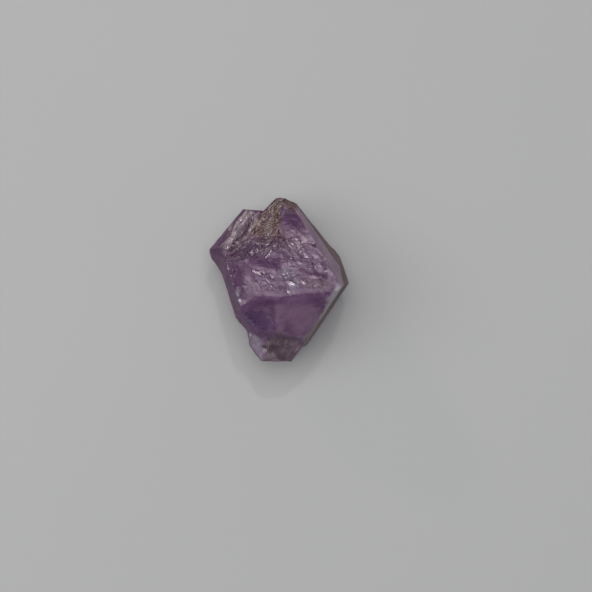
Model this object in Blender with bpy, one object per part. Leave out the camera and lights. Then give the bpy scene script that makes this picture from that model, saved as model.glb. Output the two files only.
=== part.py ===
"""Rough diamond: one purple octahedral crystal, lying on the broken cleavage at its back.

The long axis lies along Y, with the point at +Y, the broken foot at -Y and the large front faces up.
It is one solid: convex blocks are cleaved from cubes along named crystal faces and joined, and then
stepped by growth terraces, scooped by conchoidal fractures and etched with trigons.
"""

import math
import random

import bmesh
import bpy
from mathutils import Matrix, Vector

# Driving dimensions
LENGTH = 8.24e-3  # point to broken foot, in metres
MM = LENGTH / 8.24  # one millimetre at that length: every size below grows with the crystal
CORE = Vector((0.0, 0.0, 2.4 * MM))  # the point that each face's reach is measured from
ROUGH_CUBE = 16 * MM
ON_PLANE = 1e-4 * MM

# A crystal face is (azimuth from +X in degrees, elevation in degrees, reach from CORE in MM).
FRONT_FACE = (72, 63, 1.80)
LEFT_LOBE = (252, 52, 2.70)
RIGHT_LOBE = (290, 60, 2.65)
LEFT_FRONT = (187, 53, 2.45)
GROWTH_FACE = (126, 59, 1.70)
RISER = (111, 26, 2.15)
UPPER_BEVEL = (42, 31, 2.60)
STRIPED_SIDE = (196, 13, 2.50)
BACK_RIGHT = (41, -35, 2.95)
BACK_LEFT = (206, -35, 2.55)
SHOULDER_FLANK = (128, 35, 3.05)

BODY_FACES = [
    FRONT_FACE,
    LEFT_LOBE,
    RIGHT_LOBE,
    LEFT_FRONT,
    UPPER_BEVEL,
    (38, 14, 2.85),  # upper rim
    (19, 8, 3.14),  # right corner
    (313, 35, 3.15),  # lower bevel
    (326, 5, 2.97),  # lower rim
    STRIPED_SIDE,
    (228, 12, 2.80),  # lower left edge
    (262, 15, 3.00),  # under the lobes
    (293, 0, 3.60),  # lower right edge
    (136, 5, 2.90),  # side of the point
    (80, -20, 3.85),  # blunt tip
    (65, 5, 3.78),  # right of the tip
    BACK_RIGHT,
    (326, -35, 2.95),
    BACK_LEFT,
    (136, -35, 2.70),
    (15, -35, 3.30),
    (270, -40, 3.15),
]
SHOULDER_FACES = [
    (347, 48, -1.25),  # flank down to the valley
    SHOULDER_FLANK,
    (222, 23, 1.40),  # lower end
    (140, 10, 3.50),
    (85, 8, 3.25),
    (204, 10, 2.50),
    (180, 5, 3.45),
    (140, -40, 3.20),
    (204, -38, 2.60),
    (85, -35, 3.10),
    (320, 0, 1.00),  # inside the body
    (0, -90, 1.95),  # underside, clear of the floor
]
FOOT_FACES = [
    (275, 66, 1.95),  # dark front
    (205, 42, 1.85),  # pale left facet
    (192, 5, 2.05),
    (215, 5, 3.05),
    (322, 5, 2.98),
    (270, 3, 4.10),  # broken end
    (270, -45, 3.40),
    (326, -35, 2.85),
    (90, 30, -1.20),  # inside the body
    (40, 0, -0.50),  # inside the body
    (0, -90, 1.20),  # underside, clear of the floor
]
BASE = (0, -90, 2.40)  # the broken cleavage that the crystal rests on

# A terrace is (face that it lowers, how far in MM, the edges that it starts at).
TERRACES = [
    (GROWTH_FACE, 0.04, [(138, 20, 1.70), (109, 26, 2.17)]),
    (GROWTH_FACE, 0.08, [(134, 20, 1.99), (113, 26, 2.21)]),
    (GROWTH_FACE, 0.11, [(137, 20, 2.22), (108, 26, 2.24)]),
    (GROWTH_FACE, 0.15, [(133, 20, 2.46), (112, 26, 2.30)]),
    (GROWTH_FACE, 0.18, [(136, 20, 2.69), (110, 26, 2.33)]),
    (FRONT_FACE, 0.03, [(82, 20, 1.45)]),
    (FRONT_FACE, 0.07, [(97, 20, 2.15)]),
    (FRONT_FACE, 0.05, [(30, 12, 2.09)]),
    (RIGHT_LOBE, 0.05, [(305, 15, 2.75)]),
    (LEFT_FRONT, 0.07, [(205, 45, 2.45)]),
    (BACK_RIGHT, 0.08, [(60, -10, 2.80)]),
    (BACK_LEFT, 0.10, [(190, -10, 2.45)]),
]
SHOULDER_TERRACES = [
    (SHOULDER_FLANK, 0.05, [(132, 15, 2.85)]),
    (SHOULDER_FLANK, 0.11, [(126, 15, 3.10)]),
]

# A fracture scoop is (face it is sunk in, x, y, sphere radius, depth), in MM.
SCOOPS = [
    (LEFT_LOBE, -1.05, -1.72, 2.30, 0.27),
    (RIGHT_LOBE, 0.90, -2.00, 4.00, 0.13),
    (BACK_RIGHT, 1.75, 1.30, 2.60, 0.15),
]

# Etch pits: (face, middle x, middle y, half spread x, half spread y in MM, how many are tried)
PITTED = [
    (FRONT_FACE, 1.05, 0.25, 0.95, 0.85, 34),
    (FRONT_FACE, 0.65, 1.95, 0.35, 0.45, 8),
    (LEFT_FRONT, -2.00, 0.05, 0.35, 0.55, 8),
    (GROWTH_FACE, -0.60, 2.40, 0.40, 0.60, 6),
    (BACK_RIGHT, 2.35, 0.90, 0.20, 0.35, 6),
    (BACK_LEFT, -2.10, -0.90, 0.15, 0.40, 6),
]
PIT_WIDTH = (0.10, 0.22)
PIT_SLOPE = 0.35  # depth over width
PIT_SPACING = 1.25  # least distance between pits, over the sum of their widths


def outward(azimuth, elevation):
    """The unit vector that points away from the crystal at these angles in degrees."""
    level = math.cos(math.radians(elevation))
    return Vector((
        level * math.cos(math.radians(azimuth)),
        level * math.sin(math.radians(azimuth)),
        math.sin(math.radians(elevation)),
    ))


def lowered(face, depth):
    """The same crystal face, this many millimetres nearer to the core."""
    azimuth, elevation, reach = face
    return azimuth, elevation, reach - depth


def turned_round(face):
    """The same plane, keeping what lies beyond it."""
    azimuth, elevation, reach = face
    return azimuth + 180, -elevation, -reach


def point_on(face, x, y):
    """The point of a crystal face above or below this x and y in millimetres."""
    azimuth, elevation, reach = face
    normal = outward(azimuth, elevation)
    flat = Vector((x * MM, y * MM, CORE.z))
    return flat + Vector((0, 0, (reach * MM - normal.dot(flat - CORE)) / normal.z))


def put_in(collection, name, bm):
    """Makes an object of the bmesh, in the collection."""
    bmesh.ops.recalc_face_normals(bm, faces=bm.faces)
    mesh = bpy.data.meshes.new(name)
    bm.to_mesh(mesh)
    bm.free()
    made = bpy.data.objects.new(name, mesh)
    collection.objects.link(made)
    return made


def cleaved_block(collection, name, faces):
    """A cube cleaved along each face, with each cut filled flat."""
    bm = bmesh.new()
    bmesh.ops.create_cube(bm, size=ROUGH_CUBE, matrix=Matrix.Translation(CORE))
    for azimuth, elevation, reach in faces:
        normal = outward(azimuth, elevation)
        cut = bmesh.ops.bisect_plane(
            bm,
            geom=bm.verts[:] + bm.edges[:] + bm.faces[:],
            dist=ON_PLANE,
            plane_co=CORE + normal * reach * MM,
            plane_no=normal,
            clear_outer=True,
        )
        rim = [piece for piece in cut["geom_cut"] if isinstance(piece, bmesh.types.BMEdge)]
        if rim:
            bmesh.ops.edgeloop_fill(bm, edges=rim)
    return put_in(collection, name, bm)


def combine(crystal, operation, other):
    """Joins another shape to the crystal, or cuts it away."""
    boolean = crystal.modifiers.new(f"{operation.lower()} {other.name}", "BOOLEAN")
    boolean.operation = operation
    boolean.object = other


def cut_notch(crystal, cutters):
    """Lowers the front's upper left to the growth face, behind a steep riser."""
    faces = [turned_round(GROWTH_FACE), turned_round(RISER)]
    combine(crystal, "DIFFERENCE", cleaved_block(cutters, "notch", faces))


def cut_terraces(crystal, cutters, terraces):
    """Steps the faces down in growth layers."""
    for number, (face, depth, edges) in enumerate(terraces):
        faces = [turned_round(lowered(face, depth)), *map(turned_round, edges)]
        terrace = cleaved_block(cutters, f"{crystal.name}_terrace_{number}", faces)
        combine(crystal, "DIFFERENCE", terrace)


def cut_scoops(crystal, cutters):
    """Shallow spherical hollows, as a conchoidal fracture leaves."""
    for number, (face, x, y, radius, depth) in enumerate(SCOOPS):
        middle = point_on(face, x, y) + outward(*face[:2]) * (radius - depth) * MM
        bm = bmesh.new()
        bmesh.ops.create_icosphere(
            bm, subdivisions=4, radius=radius * MM, matrix=Matrix.Translation(middle)
        )
        combine(crystal, "DIFFERENCE", put_in(cutters, f"scoop_{number}", bm))


def etch_trigons(crystal, cutters):
    """Small three-sided pits with their points down, scattered over the pitted faces."""
    chance = random.Random(7)
    bm = bmesh.new()
    placed = []
    for face, middle_x, middle_y, half_x, half_y, count in PITTED:
        normal = outward(*face[:2])
        upright = normal.to_track_quat("Z", "Y").to_matrix().to_4x4()
        for _ in range(count):
            x = middle_x + chance.uniform(-half_x, half_x)
            y = middle_y + chance.uniform(-half_y, half_y)
            width = chance.uniform(*PIT_WIDTH) * MM
            centre = point_on(face, x, y)
            if any((centre - other).length < PIT_SPACING * (width + wide) for other, wide in placed):
                continue
            bmesh.ops.create_cone(
                bm,
                cap_ends=True,
                segments=3,
                radius1=0,
                radius2=2 * width,
                depth=2 * PIT_SLOPE * width,
                matrix=Matrix.Translation(centre) @ upright,
            )
            placed.append((centre, width))
    combine(crystal, "DIFFERENCE", put_in(cutters, "trigons", bm))


def centred_on_floor(crystal, name, collection):
    """The finished mesh as an object of its own, with the middle of its base box at the origin."""
    graph = bpy.context.evaluated_depsgraph_get()
    mesh = bpy.data.meshes.new_from_object(crystal.evaluated_get(graph))
    corners = [vertex.co for vertex in mesh.vertices]
    low = Vector(min(corner[axis] for corner in corners) for axis in range(3))
    high = Vector(max(corner[axis] for corner in corners) for axis in range(3))
    mesh.transform(Matrix.Translation((-(low.x + high.x) / 2, -(low.y + high.y) / 2, -low.z)))
    made = bpy.data.objects.new(name, mesh)
    collection.objects.link(made)
    return made


def purple_crystal():
    """Translucent purple diamond with an etched, half-matt skin."""
    material = bpy.data.materials.new("purple crystal")
    material.use_nodes = True
    shader = material.node_tree.nodes["Principled BSDF"]
    shader.inputs["Base Color"].default_value = (0.30, 0.13, 0.28, 1)
    shader.inputs["Roughness"].default_value = 0.25
    shader.inputs["Metallic"].default_value = 0
    shader.inputs["IOR"].default_value = 2.42
    shader.inputs["Transmission Weight"].default_value = 0.6
    return material


def new_collection(name):
    collection = bpy.data.collections.new(name)
    bpy.context.scene.collection.children.link(collection)
    return collection


def main():
    for old in list(bpy.data.objects):
        bpy.data.objects.remove(old)
    parts = new_collection("rough_diamond")
    cutters = new_collection("cutters")

    body = cleaved_block(cutters, "body", [*BODY_FACES, BASE])
    cut_notch(body, cutters)
    cut_terraces(body, cutters, TERRACES)
    shoulder = cleaved_block(cutters, "shoulder", SHOULDER_FACES)
    cut_terraces(shoulder, cutters, SHOULDER_TERRACES)
    combine(body, "UNION", shoulder)
    combine(body, "UNION", cleaved_block(cutters, "foot", FOOT_FACES))
    cut_scoops(body, cutters)
    etch_trigons(body, cutters)

    crystal = centred_on_floor(body, "rough_diamond", parts)
    crystal.data.materials.clear()
    crystal.data.materials.append(purple_crystal())
    cutters.hide_render = True
    for helper in cutters.objects:
        helper.hide_render = True
        helper.display_type = "WIRE"


main()
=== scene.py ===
"""Rough diamond: the looks of one purple octahedral crystal that lies on its broken back.

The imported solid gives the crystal's faces. A fine skin is worked out over them, with the striae,
growth steps, etch hummocks and worn edges of the real stone, and one see-through material
colours that skin face by face.
"""

import math

import bpy
import numpy as np
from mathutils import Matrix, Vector


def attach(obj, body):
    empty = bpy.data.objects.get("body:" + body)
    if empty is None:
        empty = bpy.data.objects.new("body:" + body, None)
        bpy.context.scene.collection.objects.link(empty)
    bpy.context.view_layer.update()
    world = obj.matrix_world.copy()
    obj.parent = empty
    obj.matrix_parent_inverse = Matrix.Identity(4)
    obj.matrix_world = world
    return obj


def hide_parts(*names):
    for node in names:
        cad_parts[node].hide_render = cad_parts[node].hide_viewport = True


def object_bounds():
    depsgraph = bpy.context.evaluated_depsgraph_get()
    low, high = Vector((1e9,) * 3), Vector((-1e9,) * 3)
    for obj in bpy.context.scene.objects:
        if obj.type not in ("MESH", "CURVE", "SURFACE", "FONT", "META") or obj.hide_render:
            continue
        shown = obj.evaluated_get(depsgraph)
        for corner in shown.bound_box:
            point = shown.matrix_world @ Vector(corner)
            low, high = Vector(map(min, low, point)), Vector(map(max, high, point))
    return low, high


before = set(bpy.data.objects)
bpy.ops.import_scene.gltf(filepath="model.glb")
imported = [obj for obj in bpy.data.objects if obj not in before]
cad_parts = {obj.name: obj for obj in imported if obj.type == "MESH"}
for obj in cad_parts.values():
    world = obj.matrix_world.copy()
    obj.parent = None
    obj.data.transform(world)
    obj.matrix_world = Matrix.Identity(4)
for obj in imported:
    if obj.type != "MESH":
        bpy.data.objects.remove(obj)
solid_box = [list(corner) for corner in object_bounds()]

bl_info = {
    "name": "Rough Diamond",
    "version": (1, 0, 0),
    "blender": (4, 5, 0),
    "location": "3D View > Sidebar > Rough Diamond",
    "description": "Builds an etched purple diamond crystal over its packed solid, and a studio stage",
    "category": "Add Mesh",
}

NODE = "rough_diamond"
MM = 0.001
FULL_LENGTH = 8.24  # millimetres: the crystal length at which every other length here holds
GROWTH_UNIT = (solid_box[1][1] - solid_box[0][1]) / FULL_LENGTH  # metres in such a millimetre
HEART = np.array([-1.1, 0.6, 1.6])  # inside the crystal, where every face can be seen from

# Crystal faces, as (azimuth from +X, elevation above level) in degrees.
FRONT = (72, 63)
LEFT_FRONT = (187, 53)
GROWTH = (126, 59)
GROWTH_BROW = (111, 26)
SHOULDER_FLANK = (128, 35)
VALLEY_FLANK = (347, 48)
STRIPED_SIDE = (196, 13)
LOWER_SIDE = (222, 23)
UPPER_BEVEL = (42, 31)
LOWER_BEVEL = (313, 35)
PALE_FOOT = (205, 42)

STRIAE_WAY = (0.60, 0.80)  # the striae's run, seen from above
# Sides of the scallops' cells, in millimetres.
COARSE_CELL = (0.56, 0.42)
FINE_CELL = (0.21, 0.15)
HATCH_CELL = (0.20, 0.095)
WALL_CELL = (0.7, 0.45)
FINE_WALL_CELL = (0.24, 0.18)
GIRTH_RADIUS = 3.2  # turns the angle round the heart into a length on the steep faces
SHARP_ANGLE = 38  # degrees between two faces, past which their edge is shaded sharp

# Etch facets on the upper faces, each as (x, y, x, y, radius) in millimetres. All of them face ETCH_TILT.
ETCH_TILT = (80, 72)
ETCH_FLATS = (
    (0.60, -0.19, 0.67, -0.24, 0.13), (0.22, 0.29, 0.29, 0.20, 0.07), (0.43, -0.60, 0.50, -0.65, 0.07),
    (0.33, 0.10, 0.37, 0.05, 0.06), (1.16, -0.08, 1.26, -0.24, 0.06), (1.48, 0.62, 1.54, 0.50, 0.05),
    (2.18, 0.38, 2.44, 0.45, 0.05), (1.72, -0.36, 1.90, -0.22, 0.05), (1.98, -0.30, 2.10, -0.40, 0.04),
    (-0.78, 0.36, -0.72, 0.29, 0.05), (-0.44, 0.27, -0.30, 0.08, 0.06), (-0.58, -0.02, -0.45, -0.20, 0.05),
    (-0.38, -0.28, -0.24, -0.50, 0.05), (-1.25, 0.42, -1.05, 0.36, 0.08), (-0.99, 0.33, -0.90, 0.27, 0.07),
    (0.62, 1.83, 0.73, 1.75, 0.06), (1.02, 1.34, 1.18, 1.45, 0.05), (1.33, 1.15, 1.44, 1.13, 0.06),
    (0.55, 1.02, 0.64, 1.03, 0.05), (-1.42, 1.28, -1.28, 1.37, 0.05), (-1.15, 1.39, -1.05, 1.47, 0.05),
    (-0.38, 1.46, -0.42, 1.34, 0.05), (-0.47, 1.26, -0.66, 1.10, 0.05),
    (-1.34, 3.41, -1.39, 3.34, 0.06), (-1.55, 3.10, -1.60, 3.04, 0.05), (-1.76, 2.85, -1.81, 2.77, 0.05),
    (-1.87, 3.02, -1.92, 2.96, 0.05), (-1.84, 2.46, -1.93, 2.29, 0.05), (-2.16, 2.34, -2.20, 2.29, 0.05),
    (-2.42, 2.06, -2.43, 2.02, 0.04), (-1.64, 2.13, -1.68, 2.07, 0.04), (-1.34, 2.65, -1.49, 2.43, 0.05),
    (-2.02, 1.88, -2.18, 1.85, 0.05), (-2.53, 1.62, -2.70, 1.55, 0.05),
    (-2.33, -0.37, -2.17, -0.60, 0.06), (-2.62, 0.68, -2.56, 0.48, 0.05), (-2.00, -1.02, -1.95, -1.10, 0.04),
)
DEEPEST_FLAT = 0.12  # millimetres by which a facet may cut in or stand out
FACET_SEED = 43
SMALL_FLAT_LENGTH = 0.14  # the greatest length of the clusters' facets
SMALL_FLAT_RADII = (0.024, 0.036)
# Clusters of smaller facets: x, y, x, y, spread, count, and the way the facets point in degrees.
GLINT_CLUSTERS = (
    (0.10, 3.75, -0.75, 2.30, 0.25, 22, 53),
    (-1.45, 1.65, -0.10, 1.55, 0.45, 24, 40),
    (-1.15, 0.45, -0.10, -0.35, 0.30, 14, -50),
    (1.35, 0.75, 2.45, -0.25, 0.35, 12, -30),
    (0.70, 2.45, 1.40, 1.45, 0.30, 8, -40),
    (-1.40, 3.30, -2.55, 1.65, 0.22, 34, 53),
    (-2.75, 0.95, -2.05, -0.95, 0.14, 8, -65),
    (0.30, 0.60, 0.95, -0.45, 0.35, 8, -50),
)

# Every place below is a line seen from above with what lies near it, as (x, y, x, y, width) in millimetres.

# Bands where the shoulder's striae are bright: raised in the relief, with painted highlights along them.
BRIGHT_BANDS = (
    (-1.42, 3.30, -2.25, 2.20, 0.34),
    (-2.20, 2.20, -2.75, 1.55, 0.38),
    (-1.10, 3.25, -1.65, 2.25, 0.13),
)
# Painted light: where light comes through the front face and the right lobe.
LIGHT_PATCHES = (
    (0.75, -1.50, 1.25, -2.10, 1.15),
    (-0.05, -1.00, 0.12, -2.30, 0.30),
    (-1.05, -0.22, -0.58, -0.86, 0.24),
    (-1.55, -0.05, -1.45, -0.70, 0.32),
    (-1.85, -1.12, -1.15, -0.76, 0.17), (-1.15, -0.76, 0.00, -0.72, 0.16), (0.00, -0.72, 2.40, -0.45, 0.17),
    (0.75, -1.30, 1.55, -1.75, 0.50),
)
# The pale upper end of the lower bevel, with painted light: a bluish glow and a white line.
PAINTED_LIGHT_STRIPS = (
    (3.00, -0.50, 2.55, -1.43, 0.34),
    (2.55, -1.43, 2.20, -1.90, 0.22),
)
# Painted glow: bluish light round the main glints, and light through a clear place on the left.
CLEAR_LIGHT_PATCHES = (
    (0.66, -0.20, 0.72, -0.26, 0.36),
    (0.42, 0.34, 0.62, 0.20, 0.26),
    (-2.16, -0.60, -2.00, -1.55, 0.20),
)
# Where the growth face's texture runs out over the front.
GROWTH_FRINGE = ((-1.35, 1.50, -0.10, 1.80, 0.62),)
# Thin painted highlights along the edges on the right.
EDGE_LINES = (
    (2.25, -1.60, 1.25, -3.32, 0.05),
    (1.25, -3.32, 0.80, -3.82, 0.05),
    (3.48, -0.25, 2.90, -1.15, 0.07),
)
# Fine dark ripples on the left lobe.
RIPPLED_PATCHES = ((-1.62, -1.78, -1.22, -2.05, 0.34),)
# The bluest places of the two lobes.
VIOLET_PATCHES = ((-1.35, -1.75, -0.85, -2.30, 0.85), (0.60, -2.45, 1.30, -2.55, 0.40))
# Strands along the shoulder, raised a little, with painted highlights along them.
STRANDS = (
    (-1.35, 3.48, -1.95, 2.48, 0.14), (-1.95, 2.48, -2.65, 1.58, 0.13),
    (-1.05, 3.28, -1.55, 2.23, 0.10), (-1.55, 2.23, -2.15, 1.68, 0.10),
    (-1.62, 3.40, -2.05, 2.92, 0.11), (-2.05, 2.92, -2.45, 1.98, 0.10),
    (-2.38, 2.88, -2.52, 2.48, 0.11),
)
# Ridges worn round.
WORN_RIDGES = (
    (-1.1, -0.85, 2.45, -0.65, 0.80),
    (-1.9, -1.3, -1.1, -0.85, 0.70),
    (-0.05, 2.18, -2.65, 1.18, 0.45),
    (-1.30, 3.45, -2.75, 1.45, 0.30),
    (-2.15, -1.45, -1.00, -2.72, 0.45),
    (-0.90, -2.75, 1.20, -2.90, 0.40),
)
FRONT_RIDGES = WORN_RIDGES[:2]  # these part the front from the lobes
# Patches of pure deep purple; the last, along the shoulder's outer edge, is painted shade.
DARK_PATCHES = (
    (0.55, 3.10, 0.95, 2.75, 0.60),
    (-1.30, 0.95, -0.20, 0.70, 0.42),
    (-2.20, 0.55, -1.95, -0.45, 0.50),
    (1.10, 0.42, 2.20, 0.15, 0.22),
    (-2.98, 1.70, -1.62, 3.45, 0.26),
)
# Brown stain at the point.
STAINED_PATCHES = ((0.15, 4.0, 0.62, 3.65, 0.50),)
# Thin brown dust on the front and along the right edge.
DUSTED_PATCHES = (
    (0.55, 2.35, 0.95, 2.05, 0.45),
    (1.2, -0.1, 2.3, -0.35, 0.40),
    (1.05, 3.35, 2.55, 1.45, 0.45),
    (0.15, 2.60, 0.80, 1.60, 0.50),
    (2.75, 1.25, 3.45, -0.20, 0.40),
    (3.20, -0.90, 1.60, -3.00, 0.60),
)
LOBE_DOMES = ((-0.95, -1.55, 1.25), (0.95, -1.75, 1.45))  # x, y and radius of the two broken lobes
# The x and the y of the lobes' upper border.
LOBE_TOP = ((-2.4, -1.85, -1.15, -0.7, 0.0, 1.0, 2.6), (-1.6, -1.33, -0.95, -0.83, -0.90, -0.72, -0.60))
WEDGE = (0.05, -2.62, 0.58)  # where the foot runs up between the lobes: x and y of its tip, and its slope

# Each mask's lines, how noise bends them, and how far a face's normal must rise for the mask to lie on it.
LINE_MASKS = {
    "band": (BRIGHT_BANDS, "wander", 0.2),
    "strand": (STRANDS, "wisp", 0.2),
    "worn": (FRONT_RIDGES, "straight", 0.2),
    "edge": (EDGE_LINES, "straight", 0.1),
    "clear_light": (CLEAR_LIGHT_PATCHES, "wander", 0.2),
    "rippled": (RIPPLED_PATCHES, "wander", 0.2),
    "violet": (VIOLET_PATCHES, "wander", 0.1),
    "dark": (DARK_PATCHES, "wander", 0.2),
    "light": (LIGHT_PATCHES, "wander", 0.2),
    "strip": (PAINTED_LIGHT_STRIPS, "wisp", 0.1),
    "stained": (STAINED_PATCHES, "wander", 0.2),
    "dusted": (DUSTED_PATCHES, "wander", -0.3),
}
RAGGED_FACES = ("front", "growth", "left_front", "lobe")  # faces whose borders are irregular
WEAR = 0.6  # how far a round of wear moves a ridge towards its surroundings
WEAR_ROUNDS = 60

VIEW_MIDDLE = (0.00085, -0.000825)  # metres: where the camera looks straight down

# The stone's own optics, and the colours that no user needs to change: paints, then tints of its sheen.
REFRACTION = 2.42
CLEARNESS = 0.55
ABSORBED_TINT = (0.75, 0.35, 0.75, 1)
WHITE = (1, 1, 1, 1)
BLACK = (0, 0, 0, 1)
BLUE_VIOLET = (0.05, 0.04, 0.35, 1)
PAINTED_LOBE_LIGHT = (0.60, 0.32, 0.56, 1)
SHEEN = (0.92, 0.70, 0.88, 1)
WARM_SHEEN = (0.74, 0.55, 0.50, 1)
FURROW_SHEEN = (0.46, 0.30, 0.32, 1)
LOBE_SHEEN = (0.66, 0.44, 0.66, 1)
SHADED_SHEEN = (0.50, 0.34, 0.48, 1)
DUSTY_SHEEN = (0.60, 0.52, 0.46, 1)
FACET_SHEEN = (1, 0.92, 0.94, 1)
# The colours of CrystalColour that the paints are mixed from.
PAINTS = ("body", "haze", "deep", "brown", "tan", "pale", "clear_light_paint", "highlight_paint")
# The streaks' turn in degrees, and how many of them there are to a metre across and along.
DIAGONAL_STREAKS = (-45, 12000, 1400)
LEVEL_STREAKS = (0, 5200, 1500)
EDGEWISE_STREAKS = (-120, 7000, 700)
CELLS_PER_METRE = 6500.0


class CrystalForm(bpy.types.PropertyGroup):
    """Sizes of the crystal's fine relief."""

    grid_steps: bpy.props.IntProperty(
        name="Grid Steps", description="Grid cells along each side of the skin's six patches",
        default=128, min=16, max=128)
    striae_height: bpy.props.FloatProperty(
        name="Striae Height", description="Height of the diagonal growth striae",
        default=0.045 * MM, min=0, subtype="DISTANCE", unit="LENGTH", precision=6)
    step_height: bpy.props.FloatProperty(
        name="Step Height", description="Height of the level steps low on the front face",
        default=0.030 * MM, min=0, subtype="DISTANCE", unit="LENGTH", precision=6)
    scallop_height: bpy.props.FloatProperty(
        name="Scallop Height", description="Height of the etched scallops",
        default=0.085 * MM, min=0, subtype="DISTANCE", unit="LENGTH", precision=6)
    dome_height: bpy.props.FloatProperty(
        name="Dome Height", description="How far the two broken lobes swell out",
        default=0.16 * MM, min=0, subtype="DISTANCE", unit="LENGTH", precision=6)
    swell_height: bpy.props.FloatProperty(
        name="Swell Height", description="Height of the slow waves on the broken faces",
        default=0.060 * MM, min=0, subtype="DISTANCE", unit="LENGTH", precision=6)


class CrystalColour(bpy.types.PropertyGroup):
    """Colours and optics of the crystal."""

    body: bpy.props.FloatVectorProperty(
        name="Body", description="Colour of the crystal's mass",
        default=(0.25, 0.09, 0.27), subtype="COLOR", size=3, min=0, max=1)
    haze: bpy.props.FloatVectorProperty(
        name="Haze", description="Colour of etched skin that scatters light",
        default=(0.50, 0.29, 0.50), subtype="COLOR", size=3, min=0, max=1)
    deep: bpy.props.FloatVectorProperty(
        name="Deep", description="Colour of the smooth broken faces",
        default=(0.14, 0.035, 0.16), subtype="COLOR", size=3, min=0, max=1)
    brown: bpy.props.FloatVectorProperty(
        name="Brown", description="Colour of the stained growth face",
        default=(0.11, 0.045, 0.045), subtype="COLOR", size=3, min=0, max=1)
    # Tan is a real colour of dust and stain, and also paints highlights on the striae of the growth face and
    # valley.
    tan: bpy.props.FloatVectorProperty(
        name="Tan", description="Colour of the growth face's raised striae",
        default=(0.72, 0.48, 0.40), subtype="COLOR", size=3, min=0, max=1)
    pale: bpy.props.FloatVectorProperty(
        name="Pale", description="Colour of thin edges that light passes through",
        default=(0.66, 0.52, 0.60), subtype="COLOR", size=3, min=0, max=1)
    # Painted glow: the bluish light round the glints, through the pale foot facet and through the bevel's
    # pale strip.
    clear_light_paint: bpy.props.FloatVectorProperty(
        name="Frost", description="Colour of clear places that light glows through",
        default=(0.78, 0.78, 0.96), subtype="COLOR", size=3, min=0, max=1)
    # Painted highlights: the shoulder's shining striae, and the glints on the growth face and front.
    highlight_paint: bpy.props.FloatVectorProperty(
        name="Glow", description="Colour of the shoulder's shining striae",
        default=(1.0, 0.84, 0.84), subtype="COLOR", size=3, min=0, max=1)
    density: bpy.props.FloatProperty(
        name="Absorption", description="Absorption of light inside the crystal, for each metre",
        default=600.0, min=0)


class StageSetup(bpy.types.PropertyGroup):
    """The floor, the lights and the camera."""

    floor_colour: bpy.props.FloatVectorProperty(
        name="Floor", description="Colour of the plain floor",
        default=(0.70, 0.70, 0.69), subtype="COLOR", size=3, min=0, max=1)
    camera_height: bpy.props.FloatProperty(
        name="Camera Height", description="Height of the camera above the floor",
        default=0.122, min=0.02, subtype="DISTANCE", unit="LENGTH")
    view_width: bpy.props.FloatProperty(
        name="View Width", description="Width of the view at the crystal's girth",
        default=0.0296, min=0.001, subtype="DISTANCE", unit="LENGTH", precision=4)


def outward(azimuth, elevation):
    """The unit vector at these angles in degrees, as an array."""
    turn, rise = math.radians(azimuth), math.radians(elevation)
    return np.array([math.cos(rise) * math.cos(turn), math.cos(rise) * math.sin(turn), math.sin(rise)])


def ease(low, high, values):
    """0 below low, 1 above high, and the smooth cubic 3t2 - 2t3 between them."""
    t = np.clip((values - low) / (high - low), 0, 1)
    return t * t * (3 - 2 * t)


def cube_sphere(steps):
    """Unit directions and quads of a cube blown up to a sphere.

    On each side of the cube, a direction is the side's own axis plus tan(a) and tan(b) times the side's
    two other axes, brought to length 1, where a and b run from -45 to 45 degrees on a grid. Rim points
    that two or three sides share are merged, which closes the surface.
    """
    tangents = np.tan(np.linspace(-math.pi / 4, math.pi / 4, steps + 1))
    across, up = np.meshgrid(tangents, tangents, indexing="ij")
    index = np.arange((steps + 1) ** 2).reshape(steps + 1, steps + 1)
    grid_quads = np.stack([index[:-1, :-1], index[1:, :-1], index[1:, 1:], index[:-1, 1:]], -1).reshape(-1, 4)
    sides, quads = [], []
    for axis in range(3):
        for sign in (1, -1):
            side = np.zeros(across.shape + (3,))
            side[..., axis] = sign
            side[..., (axis + 1) % 3] = across * sign
            side[..., (axis + 2) % 3] = up
            quads.append(grid_quads + len(sides) * index.size)
            sides.append(side.reshape(-1, 3))
    points = np.concatenate(sides)
    points /= np.linalg.norm(points, axis=1, keepdims=True)
    _, first, merged = np.unique(np.round(points, 6), axis=0, return_index=True, return_inverse=True)
    return points[first], merged.reshape(-1)[np.concatenate(quads)]


def solid_triangles(node):
    """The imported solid's triangles as an array (triangle, corner, xyz), in millimetres of the full size."""
    mesh = node.data
    mesh.calc_loop_triangles()
    points = np.empty(len(mesh.vertices) * 3, np.float32)
    mesh.vertices.foreach_get("co", points)
    corners = np.empty(len(mesh.loop_triangles) * 3, np.int32)
    mesh.loop_triangles.foreach_get("vertices", corners)
    return points.reshape(-1, 3)[corners].reshape(-1, 3, 3).astype(float) / GROWTH_UNIT


def faces_met(directions, triangles):
    """The index of the triangle through which each direction leaves the heart.

    A direction lies in a triangle's cone when it is on the inner side of the three planes through the
    heart and the triangle's edges. The triangle kept is the one whose least distance to those planes is
    greatest, worked out for whole blocks of directions at once.
    """
    walls = np.cross(triangles, np.roll(triangles, -1, axis=1))
    walls /= np.linalg.norm(walls, axis=2, keepdims=True)
    walls = walls.transpose(1, 2, 0).astype(np.float32)
    blocks = np.array_split(directions.astype(np.float32), max(1, len(directions) // 4096))
    return np.concatenate([np.min(block @ walls, axis=0).argmax(axis=1) for block in blocks])


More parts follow.
